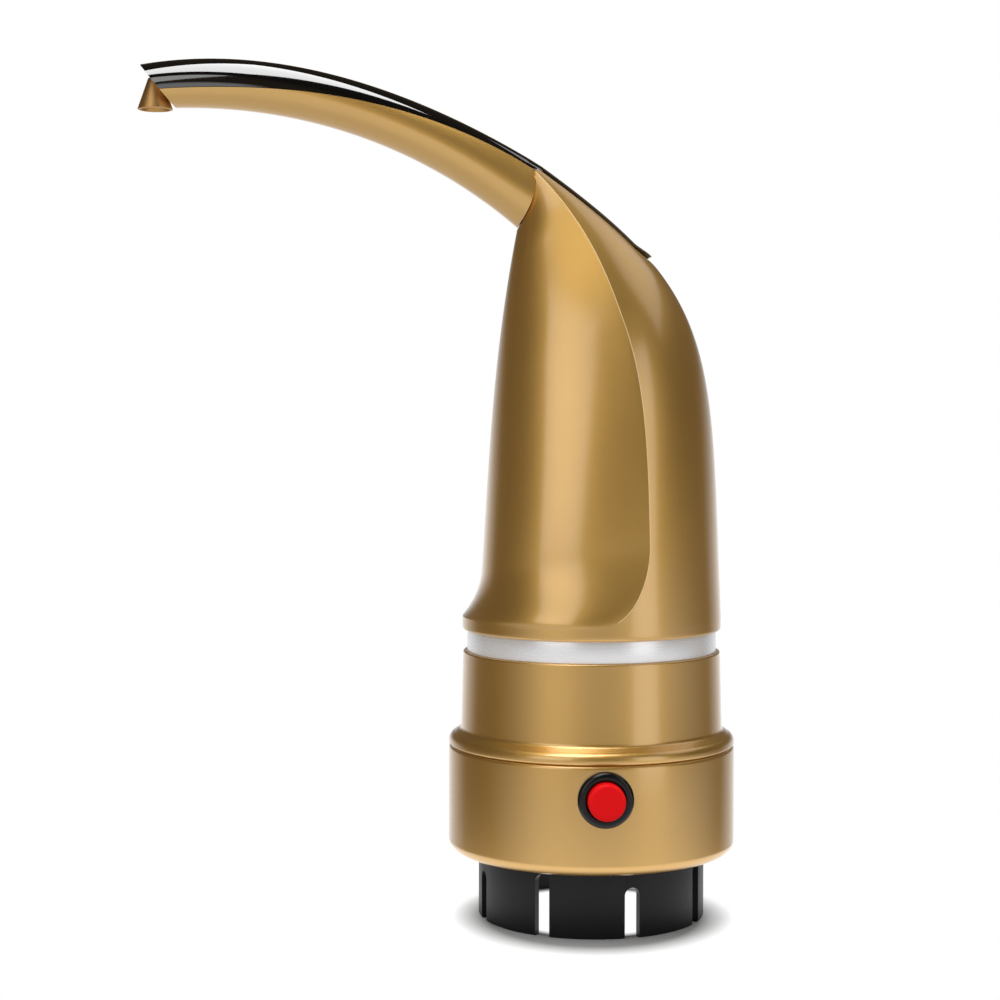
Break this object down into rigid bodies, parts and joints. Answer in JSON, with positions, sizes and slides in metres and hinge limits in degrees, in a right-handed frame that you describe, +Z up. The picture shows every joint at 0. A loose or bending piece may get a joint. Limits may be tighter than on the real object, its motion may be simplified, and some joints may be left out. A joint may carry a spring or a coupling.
{
  "type": "electric water pump dispenser",
  "caption": "Battery water pump for the neck of a large bottle: slotted grip collar, round base with a push button, tapering upright housing and a long curved spout with a nozzle facing down.",
  "frame": {"origin": "on the bottle's axis, at the mouth of the collar", "axes": "+Z up along the bottle's axis, -X towards the spout's tip, -Y towards the push button"},
  "size_m": [0.1577, 0.0815, 0.2265],
  "materials": {
    "gold_paint": "satin metallic gold",
    "black_plastic": "semi-matt black",
    "gloss_black": "high-gloss black",
    "aluminium_trim": "fine brushed",
    "red_plastic": "glossy red",
    "grey_plastic": "moulded",
    "gear_plastic": "moulded",
    "rubber_black": "matt",
    "steel": "plated",
    "brass": "polished",
    "copper": "bare copper",
    "rotor_steel": "laminated",
    "magnet": "sintered",
    "carbon": "pressed carbon",
    "hose_silicone": "translucent milky",
    "cell_wrap": "shrink wrap",
    "board_green": "solder resist",
    "board_black": "moulded",
    "lead_red": "insulation",
    "lead_black": "insulation",
    "lead_blue": "insulation"
  },
  "bodies": {
    "housing": {"bottle_collar": "black_plastic", "neck_gasket": "rubber_black", "collar_screws": "steel", "inlet_grommet": "rubber_black", "base_ring": "gold_paint", "switch_body": "black_plastic", "switch_nut": "steel", "switch_base": "black_plastic", "switch_terminals": "brass", "button_spring": "steel", "charge_socket": "black_plastic", "socket_pins": "brass", "socket_nut": "steel", "deck_plate": "black_plastic", "deck_screws": "steel", "drum_shell": "gold_paint", "trim_ring": "aluminium_trim", "inner_frame": "black_plastic", "frame_screws": "steel", "upper_housing": "gold_paint", "spout_shell": "gold_paint", "spout_cover": "gloss_black", "tip_plate": "gold_paint", "nozzle": "brass", "inlet_socket": "grey_plastic", "pump_cover": "grey_plastic", "pump_gasket": "rubber_black", "pump_body": "grey_plastic", "pump_screws": "steel", "pump_mount_screws": "steel", "gear_pin": "steel", "shaft_seal": "rubber_black", "motor_can": "steel", "motor_magnets": "magnet", "motor_bushes": "brass", "motor_brushes": "carbon", "motor_endcap": "grey_plastic", "motor_terminals": "brass", "delivery_hose": "hose_silicone", "hose_clips": "steel", "battery_holder": "black_plastic", "holder_screws": "steel", "battery_cells": "cell_wrap", "nickel_tabs": "steel", "control_board": "board_green", "board_parts": "board_black", "board_screws": "steel", "switch_leads": "lead_red", "socket_leads": "lead_black", "motor_leads": "lead_blue", "battery_leads": "lead_red"},
    "button": {"button_cap": "red_plastic", "contact_bridge": "copper"},
    "rotor": {"motor_shaft": "steel", "rotor_core": "rotor_steel", "rotor_coils": "copper", "commutator": "copper", "drive_gear": "gear_plastic"},
    "driven": {"driven_gear": "gear_plastic"}
  },
  "joints": [
    {"name": "button_press", "type": "slide", "parent": "housing", "child": "button", "axis": [-0.0523, 0.9986, 0], "range_m": [0, 0.0025], "stiffness_N_per_m": 300, "springref_m": -0.003, "deforming": ["button_spring"]},
    {"name": "pump_rotor", "type": "hinge", "parent": "housing", "child": "rotor", "pos_m": [0, -0.002, 0.06], "axis": [0, 0, 1], "continuous": true},
    {"name": "driven_gear_spin", "type": "hinge", "parent": "housing", "child": "driven", "pos_m": [0, 0.01, 0.0344], "axis": [0, 0, 1], "continuous": true}
  ],
  "couplings": [
    {"joint": "driven_gear_spin", "follows": "pump_rotor", "ratio": -1}
  ]
}
